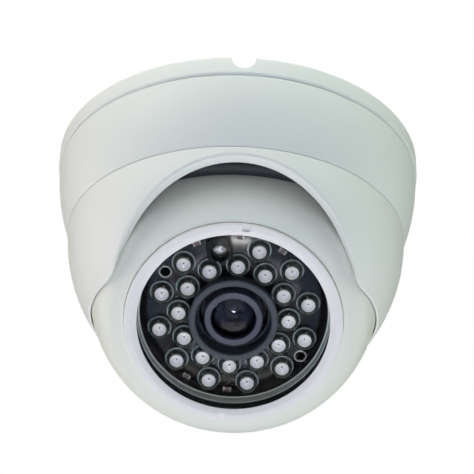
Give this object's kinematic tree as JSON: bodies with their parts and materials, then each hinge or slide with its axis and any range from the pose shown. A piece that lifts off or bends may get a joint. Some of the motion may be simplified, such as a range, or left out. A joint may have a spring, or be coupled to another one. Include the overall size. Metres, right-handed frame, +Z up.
{
  "type": "dome security camera",
  "caption": "Ceiling dome camera: a round base and arched cover hold a ball that pans, tilts and twists, with a lens and a ring of lamps behind a flat window.",
  "frame": {"origin": "centre of the ceiling face of the mounting plate", "axes": "+Z up into the ceiling, the camera hangs along -Z; -Y is the front, where the lens looks out and down; +X is to the right seen from the front"},
  "size_m": [0.093, 0.093, 0.0687],
  "materials": {
    "white_shell": "satin",
    "black_rubber": "matt",
    "black_plastic": "matt",
    "screw_steel": "plain",
    "brass": "plain",
    "black_board": "solder mask",
    "green_board": "solder mask",
    "chips": "matt",
    "clear_lamp": "clear epoxy",
    "clear_window": "clear",
    "lens_glass": "coated",
    "filter_glass": "coated",
    "sensor_face": "clear",
    "black_barrel": "anodised"
  },
  "bodies": {
    "base": {"mounting_plate": "white_shell", "base_housing": "white_shell", "plate_screws": "screw_steel", "friction_ring": "black_rubber"},
    "cover": {"dome_cover": "white_shell", "cover_ring": "white_shell", "cover_ring_screws": "screw_steel"},
    "ball_rear": {"rear_shell": "white_shell", "cable_gland": "black_plastic", "gland_nut": "black_plastic", "cable_grommet": "black_rubber"},
    "ball_front": {"front_shell": "white_shell", "shell_seal": "black_rubber", "bezel_ring": "white_shell", "window": "clear_window", "window_seal": "black_rubber", "light_board": "black_board", "light_board_rivets": "screw_steel", "light_board_chips": "chips", "sensor_hood": "black_plastic", "light_sensor": "sensor_face", "outer_lamp_1": "clear_lamp", "outer_lamp_2": "clear_lamp", "outer_lamp_3": "clear_lamp", "outer_lamp_4": "clear_lamp", "outer_lamp_5": "clear_lamp", "outer_lamp_6": "clear_lamp", "outer_lamp_7": "clear_lamp", "outer_lamp_8": "clear_lamp", "outer_lamp_9": "clear_lamp", "outer_lamp_10": "clear_lamp", "outer_lamp_11": "clear_lamp", "inner_lamp_1": "clear_lamp", "inner_lamp_2": "clear_lamp", "inner_lamp_3": "clear_lamp", "inner_lamp_4": "clear_lamp", "inner_lamp_5": "clear_lamp", "inner_lamp_6": "clear_lamp", "inner_lamp_7": "clear_lamp", "inner_lamp_8": "clear_lamp", "inner_lamp_9": "clear_lamp", "inner_lamp_10": "clear_lamp", "inner_lamp_11": "clear_lamp", "inner_lamp_12": "clear_lamp", "lens_shroud": "black_rubber", "lens_holder": "black_plastic", "image_sensor": "chips", "infrared_filter": "filter_glass", "sensor_board": "green_board", "standoffs": "brass", "power_board": "green_board", "power_board_screws": "screw_steel", "power_board_parts": "chips", "board_link": "black_plastic"},
    "lens": {"lens_barrel": "black_barrel", "front_glass": "lens_glass", "rear_glass": "lens_glass"}
  },
  "joints": [
    {"name": "cover_pan", "type": "hinge", "parent": "base", "child": "cover", "pos_m": [0, 0, 0], "axis": [0, 0, 1], "range_deg": [-177.5, 177.5]},
    {"name": "ball_tilt", "type": "hinge", "parent": "cover", "child": "ball_rear", "pos_m": [0, 0, -0.03635], "axis": [-1, 0, 0], "range_deg": [-35.2, 24.8]},
    {"name": "ball_twist", "type": "hinge", "parent": "ball_rear", "child": "ball_front", "pos_m": [0, 0, -0.03635], "axis": [0, -0.5764, -0.8171], "range_deg": [-175, 175]},
    {"name": "lens_focus", "type": "hinge", "parent": "ball_front", "child": "lens", "pos_m": [0, 0, -0.03635], "axis": [0, -0.5764, -0.8171], "range_deg": [-180, 180]}
  ]
}
